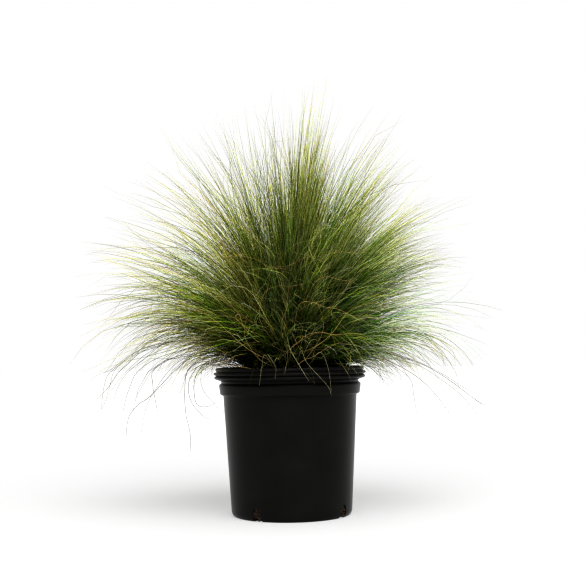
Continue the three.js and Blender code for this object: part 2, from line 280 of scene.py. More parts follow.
def grain_material(name, stops, scale):
    """Rough matter, mottled in the colours of stops with scale patches a metre."""
    n = Nodes(name)
    cloud = n.noise(scale, 4.0)
    n.put(n.shader.inputs["Base Color"], n.ramp(cloud, stops))
    n.put(n.shader.inputs["Roughness"], n.range(cloud, 0.7, 0.95))
    n.put(n.shader.inputs["Normal"], n.bump(cloud, 0.3 * MM, 0.7))
    return n.material


# ---- meshes ----


def new_object(name, vertices, faces, material, smooth=True):
    """A mesh object, linked to the scene."""
    mesh = bpy.data.meshes.new(name)
    mesh.from_pydata([tuple(v) for v in vertices], [], [tuple(int(i) for i in f) for f in faces])
    mesh.materials.append(material)
    if smooth:
        mesh.shade_smooth()
    made = bpy.data.objects.new(name, mesh)
    bpy.context.scene.collection.objects.link(made)
    return made


# The first side of a strand is square to this way, along which none sets out.
ASIDE = [0.31, 0.87, 0.38]


def strands_object(name, points, radii, colours, material):
    """One mesh of closed three-sided strands. points is (strands, stations, 3); the last is a tip."""
    count, stations, _ = points.shape
    rings = stations - 1
    ways = np.diff(points, axis=1)
    ways /= np.linalg.norm(ways, axis=2, keepdims=True)
    tangents = ways.copy()
    tangents[:, 1:] = ways[:, 1:] + ways[:, :-1]
    tangents /= np.linalg.norm(tangents, axis=2, keepdims=True)
    side = np.cross(tangents[:, 0], ASIDE)
    corners = np.empty((count, rings, 3, 3))
    for j in range(rings):
        along = tangents[:, j]
        side = side - along * np.sum(side * along, axis=1, keepdims=True)
        side /= np.linalg.norm(side, axis=1, keepdims=True)
        keel = np.cross(along, side)
        for k in range(3):
            turn = 2 * math.pi * k / 3
            way = side * math.cos(turn) + keel * math.sin(turn)
            corners[:, j, k] = points[:, j] + way * radii[:, j, None]
    size = rings * 3 + 1
    vertices = np.concatenate([corners.reshape(count, rings * 3, 3), points[:, -1:]], axis=1)
    paint = np.concatenate([np.repeat(colours[:, :rings], 3, axis=1), colours[:, -1:]], axis=1)
    paint = np.concatenate([paint, np.ones((count, size, 1))], axis=2)

    quads = []
    for j in range(rings - 1):
        for k in range(3):
            low, next_low = j * 3 + k, j * 3 + (k + 1) % 3
            quads.append([low, next_low, next_low + 3, low + 3])
    last = (rings - 1) * 3
    triangles = [[0, 2, 1]] + [[last + k, last + (k + 1) % 3, size - 1] for k in range(3)]
    loops = np.concatenate([np.array(quads).ravel(), np.array(triangles).ravel()])
    totals = np.array([4] * len(quads) + [3] * len(triangles))
    all_loops = (np.arange(count)[:, None] * size + loops[None]).ravel()
    all_totals = np.tile(totals, count)
    starts = np.concatenate([[0], np.cumsum(all_totals)[:-1]])

    mesh = bpy.data.meshes.new(name)
    mesh.vertices.add(count * size)
    mesh.vertices.foreach_set("co", vertices.astype(np.float32).ravel())
    mesh.loops.add(len(all_loops))
    mesh.loops.foreach_set("vertex_index", all_loops.astype(np.int32))
    mesh.polygons.add(len(all_totals))
    mesh.polygons.foreach_set("loop_start", starts.astype(np.int32))
    mesh.update(calc_edges=True)
    layer = mesh.color_attributes.new("blade_colour", "FLOAT_COLOR", "POINT")
    layer.data.foreach_set("color", paint.astype(np.float32).ravel())
    mesh.shade_smooth()
    mesh.materials.append(material)
    made = bpy.data.objects.new(name, mesh)
    bpy.context.scene.collection.objects.link(made)
    return made


# ---- pot ----


POT_SIDES = 160
DRAIN_ARC_STEPS = 12
SHARP_ANGLE = 38  # degrees between two faces, above which their edge stays sharp


def body_radius(z):
    """The outer radius of the pot's tapered wall at height z."""
    return FOOT_RADIUS + (z - FLOOR_Z) / (BODY_TOP_Z - FLOOR_Z) * (BODY_TOP_RADIUS - FOOT_RADIUS)


def rounded(profile, arc_points=4):
    """A profile of (radius, z, corner radius) points in mm, with each corner rounded off."""
    made = []
    for i, (r, z, corner) in enumerate(profile):
        here = Vector((r, z))
        if not corner or i in (0, len(profile) - 1):
            made.append(here)
            continue
        before = Vector(profile[i - 1][:2]) - here
        after = Vector(profile[i + 1][:2]) - here
        reach = min(corner, before.length * 0.45, after.length * 0.45)
        start, end = here + before.normalized() * reach, here + after.normalized() * reach
        for k in range(arc_points + 1):
            t = k / arc_points
            made.append(start * (1 - t) ** 2 + here * (2 * t * (1 - t)) + end * t ** 2)
    return [(p.x * MM, p.y * MM) for p in made]


def turned(name, profile, sides, material):
    """A closed solid turned round Z from a (radius, z) profile that starts and ends on the axis."""
    inner = profile[1:-1]
    angles = [2 * math.pi * i / sides for i in range(sides)]
    vertices = [(r * math.cos(a), r * math.sin(a), z) for r, z in inner for a in angles]
    bottom, top = len(vertices), len(vertices) + 1
    vertices += [(0, 0, profile[0][1]), (0, 0, profile[-1][1])]
    faces = []
    for j in range(len(inner) - 1):
        for i in range(sides):
            k = (i + 1) % sides
            faces.append((j * sides + i, j * sides + k, (j + 1) * sides + k, (j + 1) * sides + i))
    end = (len(inner) - 1) * sides
    for i in range(sides):
        k = (i + 1) % sides
        faces.append((bottom, k, i))
        faces.append((top, end + i, end + k))
    return new_object(name, vertices, faces, material)


def cut(target, cutter):
    """Cuts cutter out of target and removes cutter."""
    modifier = target.modifiers.new("cut", "BOOLEAN")
    modifier.operation = "DIFFERENCE"
    modifier.object = cutter
    modifier.solver = "EXACT"
    bpy.context.view_layer.update()
    evaluated = target.evaluated_get(bpy.context.evaluated_depsgraph_get())
    mesh = bpy.data.meshes.new_from_object(evaluated)
    target.modifiers.clear()
    target.data = mesh
    bpy.data.objects.remove(cutter)


def drain_azimuths():
    """The azimuths of the drain holes, in degrees."""
    return [DRAIN_FIRST_AZIMUTH + 360 / DRAIN_COUNT * i for i in range(DRAIN_COUNT)]


def drain_cutter(azimuth, material):
    """An arch-topped block through the corner between the pot's wall and its base."""
    half = DRAIN_WIDTH / 2
    below_base = -2 * MM
    arch = [(-half, below_base), (half, below_base)]
    for k in range(DRAIN_ARC_STEPS + 1):
        turn = math.pi * k / DRAIN_ARC_STEPS
        arch.append((half * math.cos(turn), DRAIN_HEIGHT - half + half * math.sin(turn)))
    angle = math.radians(azimuth)
    out = Vector((math.cos(angle), math.sin(angle), 0))
    side = Vector((-out.y, out.x, 0))
    near, far = FOOT_RADIUS - DRAIN_DEPTH / 2, FOOT_RADIUS + DRAIN_DEPTH / 2
    vertices = [out * d + side * x + Vector((0, 0, z)) for d in (near, far) for x, z in arch]
    n = len(arch)
    faces = [tuple(range(n))[::-1], tuple(range(n, 2 * n))]
    faces += [(i, (i + 1) % n, n + (i + 1) % n, n + i) for i in range(n)]
    return new_object("drain_cutter", vertices, faces, material, smooth=False)


def make_pot():
    """The pot, with the CAD profile's corners rounded off and its drain holes cut out."""
    lip, foot = LIP_RADIUS / MM, FOOT_RADIUS / MM
    height, body_top, floor = POT_HEIGHT / MM, BODY_TOP_Z / MM, FLOOR_Z / MM
    floor_inner = body_radius(FLOOR_Z) / MM - WALL / MM
    body_inner = body_radius(BODY_TOP_Z) / MM - WALL / MM
    base = [(0, 0, 0), (24, 0, 1.5), (27, 1.8, 1.5), (48, 1.8, 1.5), (51, 0, 1.5), (foot - 2, 0, 1.6)]
    wall = [(foot, floor, 2.4), (BODY_TOP_RADIUS / MM, body_top, 0.8)]
    band = [(lip - 6.9, 130, 1.1), (lip - 5.6, 140.2, 1.4), (lip - 8.2, 142, 0.9), (lip - 8, 144.2, 0.9)]
    ridges = [
        (lip - 0.8, 146.8, 1.1), (lip - 0.6, 148.8, 0.8), (lip - 3, 149.9, 0.6),
        (lip, 151.2, 0.8), (lip, 153, 0.8), (lip - 3.2, 154.1, 0.6),
        (lip - 2, 155.4, 0.7), (lip - 2, 157.4, 0.9), (lip - 3.4, height, 0.7)]
    inside = [
        (lip - 5, height, 0.7), (lip - 9.7, 144, 2.0), (body_inner, body_top, 3.0),
        (floor_inner, floor, 2.0), (0, floor, 0)]
    profile = rounded(base + wall + band + ridges + inside)
    plastic = pot_material()
    pot = turned("moulded_pot", profile, POT_SIDES, plastic)
    for azimuth in drain_azimuths():
        cut(pot, drain_cutter(azimuth, plastic))
    pot.data.shade_smooth()
    pot.data.set_sharp_from_angle(angle=math.radians(SHARP_ANGLE))
    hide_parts("nursery_pot")
    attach(pot, "root")


# ---- root ball ----


BALL_SIDES = 120
BALL_TOP_RADIUS = 71.2 * MM
# The lumps on top are a sum of waves, the finer the lower, which die out near the wall. Together they
# reach several times LUMP_HEIGHT. A wave's number is in radians a metre; at WAVE_HALVED its height is
# half of that.
LUMP_WAVES = 24
WAVE_LOW, WAVE_HIGH = 90, 900
WAVE_HALVED = 260
LUMP_HEIGHT = 1.5 * MM
LUMP_EDGE = 72 * MM
LUMP_FADE = 4 * MM


def make_root_ball(rng):
    """The potting mix that fills the pot, lumpy on top."""
    bottom = FLOOR_Z + SOIL_GAP
    profile = [(0, bottom)]
    profile += [(body_radius(bottom) * t - WALL - SOIL_GAP, bottom) for t in np.linspace(0.3, 1, 8)]
    for z in np.linspace(bottom + 4 * MM, BODY_TOP_Z, 12):
        profile.append((body_radius(z) - WALL - SOIL_GAP, z))
    profile += [(r, SOIL_Z) for r in np.linspace(BALL_TOP_RADIUS, 3 * MM, 34)]
    profile.append((0, SOIL_Z))
    ball = turned("soil_and_roots", profile, BALL_SIDES, soil_material())
    waves = rng.uniform(-1, 1, (LUMP_WAVES, 2)) * rng.uniform(WAVE_LOW, WAVE_HIGH, (LUMP_WAVES, 1))
    phases = rng.uniform(0, 2 * math.pi, LUMP_WAVES)
    heights = LUMP_HEIGHT / (1 + np.linalg.norm(waves, axis=1) / WAVE_HALVED)
    for vertex in ball.data.vertices:
        x, y, z = vertex.co
        if z > SOIL_Z - 1e-6:
            lift = float(np.sum(heights * np.sin(waves @ (x, y) + phases)))
            vertex.co.z = z + lift * min(1, (LUMP_EDGE - math.hypot(x, y)) / LUMP_FADE)
    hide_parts("root_ball")
    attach(ball, "root")


# ---- crumbs, chips and roots ----

# The corners and faces of an icosahedron, and about how far its corners lie from its middle.
ICO_RADIUS = 1.9
GOLD = (1 + math.sqrt(5)) / 2
ICO_CORNERS = [(-1, GOLD, 0), (1, GOLD, 0), (-1, -GOLD, 0), (1, -GOLD, 0), (0, -1, GOLD), (0, 1, GOLD),
               (0, -1, -GOLD), (0, 1, -GOLD), (GOLD, 0, -1), (GOLD, 0, 1), (-GOLD, 0, -1), (-GOLD, 0, 1)]
ICO_FACES = [(0, 11, 5), (0, 5, 1), (0, 1, 7), (0, 7, 10), (0, 10, 11), (1, 5, 9), (5, 11, 4),
             (11, 10, 2), (10, 7, 6), (7, 1, 8), (3, 9, 4), (3, 4, 2), (3, 2, 6), (3, 6, 8), (3, 8, 9),
             (4, 9, 5), (2, 4, 11), (6, 2, 10), (8, 6, 7), (9, 8, 1)]


def make_grains(name, places, sizes, flatness, material, rng):
    """One piece of angular grains, sizes in metres across, each flattened and turned its own way."""
    vertices, faces = [], []
    for place, size in zip(places, sizes):
        squash = np.array([1, rng.uniform(0.5, 0.9), rng.uniform(*flatness)])
        turn = np.array(Matrix.Rotation(rng.uniform(0, ROUND), 3, "Z")
                        @ Matrix.Rotation(rng.normal(0, 0.4), 3, "X"))
        corners = np.array(ICO_CORNERS) / ICO_RADIUS * rng.uniform(0.75, 1.15, (12, 1)) * squash * size / 2
        first = len(vertices)
        vertices.extend(corners @ turn.T + place)
        faces.extend((first + a, first + b, first + c) for a, b, c in ICO_FACES)
    grains = new_object(name, vertices, faces, material, smooth=False)
    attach(grains, "root")


CHIPS_RADIUS = 66 * MM


def make_soil_surface(rng):
    """Bark chips and perlite at about SOIL_Z; over the mix's hollows some hang clear of it."""
    bark = grain_material("bark", [(0.3, (0.022, 0.010, 0.005)), (0.6, (0.075, 0.035, 0.017)),
                                   (0.8, (0.150, 0.080, 0.040))], 260)
    perlite = grain_material("perlite", [(0.3, (0.32, 0.30, 0.26)), (0.7, (0.62, 0.60, 0.55))], 400)
    for name, count, low, high, flatness, material in [
            ("bark_chips", 190, 3.5, 9, (0.2, 0.45), bark),
            ("perlite_grains", 70, 1.4, 3, (0.6, 1), perlite)]:
        angles = rng.uniform(0, 2 * math.pi, count)
        radii = CHIPS_RADIUS * np.sqrt(rng.uniform(0.05, 1, count))
        lifts = SOIL_Z + rng.uniform(-0.4, 1.2, count) * MM
        places = np.stack([radii * np.cos(angles), radii * np.sin(angles), lifts], axis=1)
        make_grains(name, places, rng.uniform(low, high, count) * MM, flatness, material, rng)


CRUMBS_A_HOLE = 26
ROOTS_A_HOLE = 12
ROOT_STEPS = 7
ROOT_STEP = 1 * MM
ROOTS_REACH = FOOT_RADIUS + 0.9 * MM
ROOTS_LOWEST = 0.5 * MM


def make_drain_fillings(rng):
    """Crumbs of mix and root ends that show in the drain holes."""
    crumb = grain_material("drain_crumb", [(0.3, (0.006, 0.004, 0.002)), (0.55, (0.030, 0.012, 0.005)),
                                           (0.8, (0.120, 0.040, 0.015))], 500)
    fine_root = grain_material("fine_root", [(0.3, (0.030, 0.030, 0.012)), (0.6, (0.110, 0.095, 0.050)),
                                             (0.8, (0.300, 0.260, 0.170))], 350)
    places, roots = [], []
    for azimuth in drain_azimuths():
        angle = math.radians(azimuth)
        out = np.array([math.cos(angle), math.sin(angle), 0])
        side = np.array([-out[1], out[0], 0])
        up = np.array([0, 0, 1])
        for _ in range(CRUMBS_A_HOLE):
            across = rng.uniform(-4.6, 4.6)
            z = rng.uniform(1.2, 12 - abs(across))
            radius = body_radius(z * MM) - WALL - rng.uniform(-0.6, 0.6) * MM
            places.append(out * radius + side * across * MM + up * z * MM)
        for _ in range(ROOTS_A_HOLE):
            across = rng.uniform(-4, 4)
            z = rng.uniform(3, 11.5)
            point = out * (body_radius(z * MM) - WALL - 2 * MM) + side * across * MM + up * z * MM
            way = out + side * rng.normal(0, 0.5) + up * rng.normal(-0.1, 0.5)
            path = [point]
            for _ in range(ROOT_STEPS):
                way = way + side * rng.normal(0, 0.7) + up * rng.normal(-0.15, 0.6) - out * 0.12
                point = point + way / np.linalg.norm(way) * ROOT_STEP
                reach = float(point @ out)
                point = point - out * max(0, reach - ROOTS_REACH)
                point[2] = max(point[2], ROOTS_LOWEST)
                path.append(point)
            roots.append(path)
    make_grains("drain_crumbs", places, rng.uniform(1.4, 3.2, len(places)) * MM, (0.6, 1), crumb, rng)
    roots = np.array(roots)
    radii = rng.uniform(0.16, 0.34, (len(roots), 1)) * MM * np.linspace(1, 0.5, roots.shape[1])
    piece = strands_object("drain_roots", roots, radii, np.ones(roots.shape), fine_root)
    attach(piece, "root")


# ---- blades ----

# Colours along a blade from its root to its tip, as (share of the length, (r, g, b)). Their near-black low
# stops are partly the blades' own colour and partly painted shade inside the tussock; STRAW's brightest
# stops are partly the dry blades' own pale colour and partly painted glint.
GREEN = [
    (0.0, (0.034, 0.027, 0.008)), (0.12, (0.014, 0.024, 0.001)), (0.3, (0.0078, 0.036, 0.0004)),
    (0.5, (0.021, 0.079, 0.0009)), (0.68, (0.078, 0.146, 0.0035)), (0.8, (0.230, 0.250, 0.034)),
    (0.9, (0.380, 0.350, 0.145)), (1.0, (0.285, 0.250, 0.200))]
STRAW = [
    (0.0, (0.030, 0.022, 0.006)), (0.2, (0.008, 0.016, 0.001)), (0.4, (0.050, 0.090, 0.005)),
    (0.52, (0.370, 0.345, 0.085)), (0.65, (0.870, 0.795, 0.410)), (0.85, (0.870, 0.800, 0.500)),
    (1.0, (0.480, 0.420, 0.260))]
# What one unit of warmth adds to red, green and blue.
WARM_SHIFT = [0.17, 0, -0.06]
# How much brighter, in red, green and blue, the tips of green blades in an upright tuft are: partly their
# own paler colour and partly painted light, for the bright backdrop shining through them.
PALE_TIPS = [0.88, 0.78, 0.7]
# What the colours of stray blades are multiplied by.
STRAY_TINT = [0.85, 0.72, 0.66]
# How bright a blade is at the crown, where the others shade it, as a share of its own colour.
CROWN_LIGHT = 0.28
STRAY_CROWN_LIGHT = 0.8

# The kinds of blade: live, dead, and stray, which curls its own way, is half as wide, and is dead in
# half of the cases.
LIVE, DEAD, STRAY = 0, 1, 2
KIND_WIDTHS = np.array([1, 1, 0.5])
HALF_WIDTH_LOW, HALF_WIDTH_HIGH = 0.17, 0.32  # in mm

# A blade starts this far below SOIL_Z, which over the mix's hollows is above the mix itself.
ROOT_DEPTH = 2 * MM
# Blades keep clear of the pot and the ground. Within OVER_SOIL of the axis they stay over SOIL_Z,
# give or take HEIGHT_MARGIN, and beyond it over the rim until they have passed the lip.
OVER_SOIL = 70 * MM
LIP_MARGIN = 1.5 * MM
HEIGHT_MARGIN = 1 * MM
LOWEST = 4 * MM
BOX_MARGIN = 5 * MM
# So many times the wanted blades are drawn, because those that meet the pot are left out.
SPARE = 2

# Blades on the right gather into sheaves with bright gaps between them. These are the sheaves' leans,
# in degrees from upright as the viewer sees them, and how firmly they hold their blades, from 0 to 1.
SHEAVES = np.array([8, 17, 25, 40, 48, 80, 94, 110])
SHEAF_HOLD = 0.8
# Stands for the sine of the centre tuft's lean: a turn of its heading hardly moves its blades.
CENTRE_SIDEWAYS = 0.08
# The share by which a low tuft that points at the viewer leans less than RINGS says.
FRONT_LIFT = 0.25
# How fast a blade's two wandering waves turn along it, in radians.
WANDER_RATES = np.array([4.0, 9.0])


def painted(stops, shares):
    """The colours of stops at shares, which is (strands, stations)."""
    positions = [p for p, _ in stops]
    table = np.array([c for _, c in stops])
    return np.stack([np.interp(shares, positions, table[:, k]) for k in range(3)], axis=2)


def blade_paths(stations, start, heading, root_lean, tip_lean, bend, length, sway, wander, curls, phases):
    """Points of blades that bend from root_lean to tip_lean; all but stations have an entry a blade."""
    steps = stations - 1
    shares = (np.arange(steps) + 0.5) / steps
    lean = root_lean[:, None] + (tip_lean - root_lean)[:, None] * shares ** bend[:, None]
    turn = heading[:, None] + sway[:, None] * shares ** 1.5
    lean, turn = np.radians(lean), np.radians(turn)
    ways = np.stack([np.sin(lean) * np.cos(turn), np.sin(lean) * np.sin(turn), np.cos(lean)], axis=2)
    waves = np.sin(phases[:, None] + shares[None, :, None] * WANDER_RATES)
    ways = ways + np.einsum("csw,cwk->csk", waves * wander[:, None, None] * shares[None, :, None], curls)
    hops = ways / np.linalg.norm(ways, axis=2, keepdims=True) * (length / steps)[:, None, None]
    return np.concatenate([start[:, None], start[:, None] + np.cumsum(hops, axis=1)], axis=1)


def clear_of_pot(points):
    """Which blades pass over the lip and stay off the ground and near the CAD model's box."""
    middle = (points[:, 1:] + points[:, :-1]) / 2
    both = np.concatenate([points[:, 1:], middle], axis=1)
    radius = np.linalg.norm(both[:, :, :2], axis=2)
    z = both[:, :, 2]
    by_lip = (radius > OVER_SOIL) & (radius < LIP_RADIUS + LIP_MARGIN)
    in_lip = by_lip & (z < POT_HEIGHT + HEIGHT_MARGIN)
    in_soil = (radius <= OVER_SOIL) & (z < SOIL_Z - HEIGHT_MARGIN)
    below = z < LOWEST
    too_low = points < np.array(cad_low) - BOX_MARGIN
    too_high = points > np.array(cad_high) + BOX_MARGIN
    outside = (too_low | too_high).any(axis=2)
    return ~(in_lip.any(axis=1) | in_soil.any(axis=1) | below.any(axis=1) | outside.any(axis=1))


def towards(tuft):
    """1 for a tuft that points at the viewer, down to 0 at the sides and behind."""
    return max(0, -math.sin(math.radians(tuft["azimuth"])))


def sideways(tuft):
    """About the sine of a tuft's lean, by which a turn of its heading moves it sideways."""
    if tuft["ring"]["radius"] == 0:
        return CENTRE_SIDEWAYS
    return math.sin(math.radians(tuft["lean"]))


def uprightness(tuft):
    """1 for an upright tuft, down to 0 for a level one."""
    return math.cos(math.radians(tuft["lean"])) ** 2


def is_straw(tuft):
    """Whether a tuft is one of the dry bunches."""
    return tuft["ring"]["node"] == "straw_bunch"


def frontness(tuft):
    """As towards, but less for a tuft that points aside or is upright."""
    return towards(tuft) ** 1.5 * max(0, math.sin(math.radians(tuft["lean"]))) ** 2


def leftness(tuft):
    """1 for a low tuft on the left, where more blades are dry, to -1 for one on the right."""
    return -math.cos(math.radians(tuft["azimuth"])) * math.sin(math.radians(tuft["lean"]))


def draw_locks(tuft, rng):
    """Draws the locks that a tuft is parted into: their size, way, shape, dryness and colour."""
    count = tuft["locks"]
    spread = tuft["spread"]
    across = sideways(tuft)
    return dict(
        share=rng.uniform(0.15, 1, count),
        dryness=4 * rng.random(count) ** 3,
        heading=tuft["azimuth"] + rng.normal(0, spread * 1.25, count) / across,
        lean=(tuft["lean"] + rng.normal(0, spread * 0.95, count)) * (1 - FRONT_LIFT * frontness(tuft)),
        root=rng.normal(0, spread * 0.5 * MM, (count, 2)),
        length=rng.uniform(0.78, 1.0, count),
        droop=rng.normal(1, 0.1, count),
        bend=rng.uniform(0.8, 1.25, count),
        sway=rng.normal(0, 11, count),
        tone=np.exp(rng.normal(0, 0.45, count)),
        warmth=rng.normal(0, 0.7, count))


def draw_kinds(tuft, locks, rng):
    """The lock and the kind of each blade; dead ones are commoner in dry locks, on the left and behind."""
    count = tuft["blades"] * SPARE
    lock = rng.choice(tuft["locks"], count, p=locks["share"] / locks["share"].sum())
    stray = tuft["ring"]["stray"]
    if is_straw(tuft):
        dead = 1 - stray
    else:
        behind = max(0, math.sin(math.radians(tuft["azimuth"])))
        dead = 0.25 + 0.03 * leftness(tuft) + 0.1 * behind - 0.08 * towards(tuft)
        dead += 0.5 * uprightness(tuft) * leftness(tuft)
        dead = max(dead, 0.05) * locks["dryness"][lock]
        stray += 0.13 * towards(tuft)
    draw = rng.random(count)
    return lock, np.where(draw < stray, STRAY, np.where(draw < stray + dead, DEAD, LIVE))


def gathered(lean, heading):
    """Leans of blades, those on the right drawn to the nearest sheaf, and how much each is held.

    A sheaf holds only blades that head well to the right and look more than 15 degrees off upright.
    """
    side = np.cos(np.radians(heading))
    seen = np.degrees(np.arctan2(np.sin(np.radians(lean)) * side, np.cos(np.radians(lean))))
    nearest = np.abs(seen[:, None] - SHEAVES).argmin(axis=1)
    hold = np.clip((side - 0.3) / 0.3, 0, 1) * np.clip((seen - 15) / 12, 0, 1)
    wanted = np.radians(seen + SHEAF_HOLD * hold * (SHEAVES[nearest] - seen))
    new_lean = np.degrees(np.arctan2(np.sin(wanted), np.cos(wanted) * np.maximum(side, 0.1)))
    return np.where(hold > 0, new_lean, lean), hold


def draw_blades(tuft, locks, k, kinds, rng):
    """Draws the shapes of a tuft's blades; k is each blade's lock, and a lock keeps together."""
    count = len(kinds)
    across = sideways(tuft)
    loose = np.where(rng.random(count) < 0.3 + 0.35 * towards(tuft), 2.8, 0.75)
    stray = kinds == STRAY

    start = np.empty((count, 3))
    start[:, :2] = tuft["root"][:2] + locks["root"][k] + rng.normal(0, 1.2 * MM, (count, 2))
    start[:, 2] = SOIL_Z - ROOT_DEPTH
    loose *= min(tuft["spread"] / 9, 1)
    heading = locks["heading"][k] + loose * rng.normal(0, 3, count) / across
    heading += stray * rng.normal(0, 40, count)
    lean = locks["lean"][k] + loose * rng.normal(0, 2.8, count)
    lean, hold = gathered(lean, heading)
    vary = 1 - 0.6 * hold
    lean = np.where(stray, np.abs(lean * rng.uniform(0.4, 1.1, count)), lean)
    short = 1.6 if tuft["ring"]["spread"] > 8 else 2.6
    length = tuft["reach"] * 1.06 * locks["length"][k] * (0.42 + 0.58 * rng.random(count) ** short)
    length *= np.where(stray, rng.uniform(0.45, 1, count), 1)
    droop = 1.75 - 0.45 * min(max((tuft["lean"] - 55) / 35, 0), 1)
    own_droop = locks["droop"][k] * rng.uniform(0.75, 1.25, count)
    tip = lean * droop * (1 + (own_droop - 1) * vary) + loose * rng.normal(0, 6, count)
    tip = np.clip(tip + stray * rng.uniform(-20, 85, count), -40, 178)
    root_lean = lean * (0.28 + rng.uniform(-0.13, 0.12, count) * vary)
    return dict(
        start=start, heading=heading, root_lean=root_lean, tip_lean=tip, length=length,
        bend=locks["bend"][k] * rng.uniform(0.9, 1.1, count),
        sway=locks["sway"][k] + loose * rng.normal(0, 4, count),
        wander=loose * 0.12 + stray * rng.uniform(0.3, 1.5, count),
        curls=rng.normal(0, 1, (count, 2, 3)),
        phases=rng.uniform(0, 2 * math.pi, (count, 2)))


def blade_colours(tuft, points, locks, k, kinds, rng):
    """Colours of a tuft's blades at their stations; k is each blade's lock.

    The hue follows the side of the plant that the tuft is on, its lock and chance. A blade has painted
    shade near the crown, and a live one may be dry from some way up to its tip.
    """
    count, stations, _ = points.shape
    shares = np.tile(np.linspace(0, 1, stations), (count, 1))
    facing, left, upright = towards(tuft), leftness(tuft), uprightness(tuft)

    live_tone = tuft["ring"]["tone"] * locks["tone"][k]
    tone = np.where(kinds == LIVE, live_tone, 1) * np.exp(rng.normal(0, 0.6, count))
    one_side = (1.2 if left > 0 else -0.1) * left
    mean_warmth = one_side * (1 - facing) - 0.5 * facing - 0.4 * upright
    warmth = rng.normal(mean_warmth, 0.4, (count, 1, 1))
    warmth += locks["warmth"][k][:, None, None]
    warmth = warmth * WARM_SHIFT
    tone *= 1 + 0.1 * abs(left)
    tone = tone[:, None] ** (1 - 0.35 * shares)

    green = painted(GREEN, shares) * (1 + warmth)
    # Partly painted light: the upper half of an upright tuft's green blades is paler, as if lit from
    # behind.
    pale = np.clip((shares - 0.45) / 0.3, 0, 1)[:, :, None] * upright
    green *= 1 + pale * PALE_TIPS
    straw = painted(STRAW, shares) * (1 + warmth)
    blue = 1 - 0.35 * upright + 0.6 * max(0, -left) - 0.1 * max(0, left) - 0.1 * facing
    green[:, :, 2] *= blue
    straw[:, :, 2] *= blue

    dry_from = np.where(kinds == LIVE, rng.uniform(0.6, 1.4, count), -1)
    dry_from[(kinds == STRAY) & (rng.random(count) < 0.5)] = 1
    dry = np.clip((shares - dry_from[:, None]) / 0.3, 0, 1)[:, :, None]
    colours = green * (1 - dry) + straw * dry
    colours[kinds == STRAY] *= STRAY_TINT

    # Painted shade: a blade is darker the nearer it is to the crown, where the other blades shade it.
    depth = np.linalg.norm(points - [0, 0, SOIL_Z], axis=2)
    least = np.where(kinds == STRAY, STRAY_CROWN_LIGHT, CROWN_LIGHT)[:, None]
    shade = least + (1 - least) * np.clip((depth / tuft["reach"] - 0.12) / 0.42, 0, 1)
    # Painted shade: a tuft that points at the viewer is darker, by its ring's front, for the shade in the
    # plant's core.
    shade *= 1 + (tuft["ring"]["front"] - 1) * facing ** 2
    return np.clip(colours * (tone * shade)[:, :, None], 0.0002, 0.88)


def grow_tuft(tuft, index, material):
    """The fine blades of one tuft, in place of its CAD tuft; index gives its own seeds."""
    rng = np.random.default_rng(BLADE_SEED + index)
    stations = tuft["ring"]["stations"]
    straw = is_straw(tuft)
    locks = draw_locks(tuft, np.random.default_rng(LOCK_SEED + index))
    lock, kinds = draw_kinds(tuft, locks, rng)
    points = blade_paths(stations, **draw_blades(tuft, locks, lock, kinds, rng))
    kept = np.flatnonzero(clear_of_pot(points))[:tuft["blades"]]
    points, lock, kinds = points[kept], lock[kept], kinds[kept]
    count = len(kept)

    shares = np.tile(np.linspace(0, 1, stations), (count, 1))
    half_width = rng.uniform(HALF_WIDTH_LOW, HALF_WIDTH_HIGH, count) * KIND_WIDTHS[kinds] * MM
    half_width *= 1 - 0.3 * towards(tuft)
    upright = uprightness(tuft)
    half_width *= 1 + 0.5 * upright
    radii = half_width[:, None] * (1 - (0.65 + 0.1 * upright) * shares ** (2.5 - 0.7 * upright))
    colours = blade_colours(tuft, points, locks, lock, kinds, rng)
    piece = strands_object("fine_" + tuft["node"], points, radii, colours, material)
    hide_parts(tuft["node"])
    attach(piece, "root")


# ---- single dry blades ----

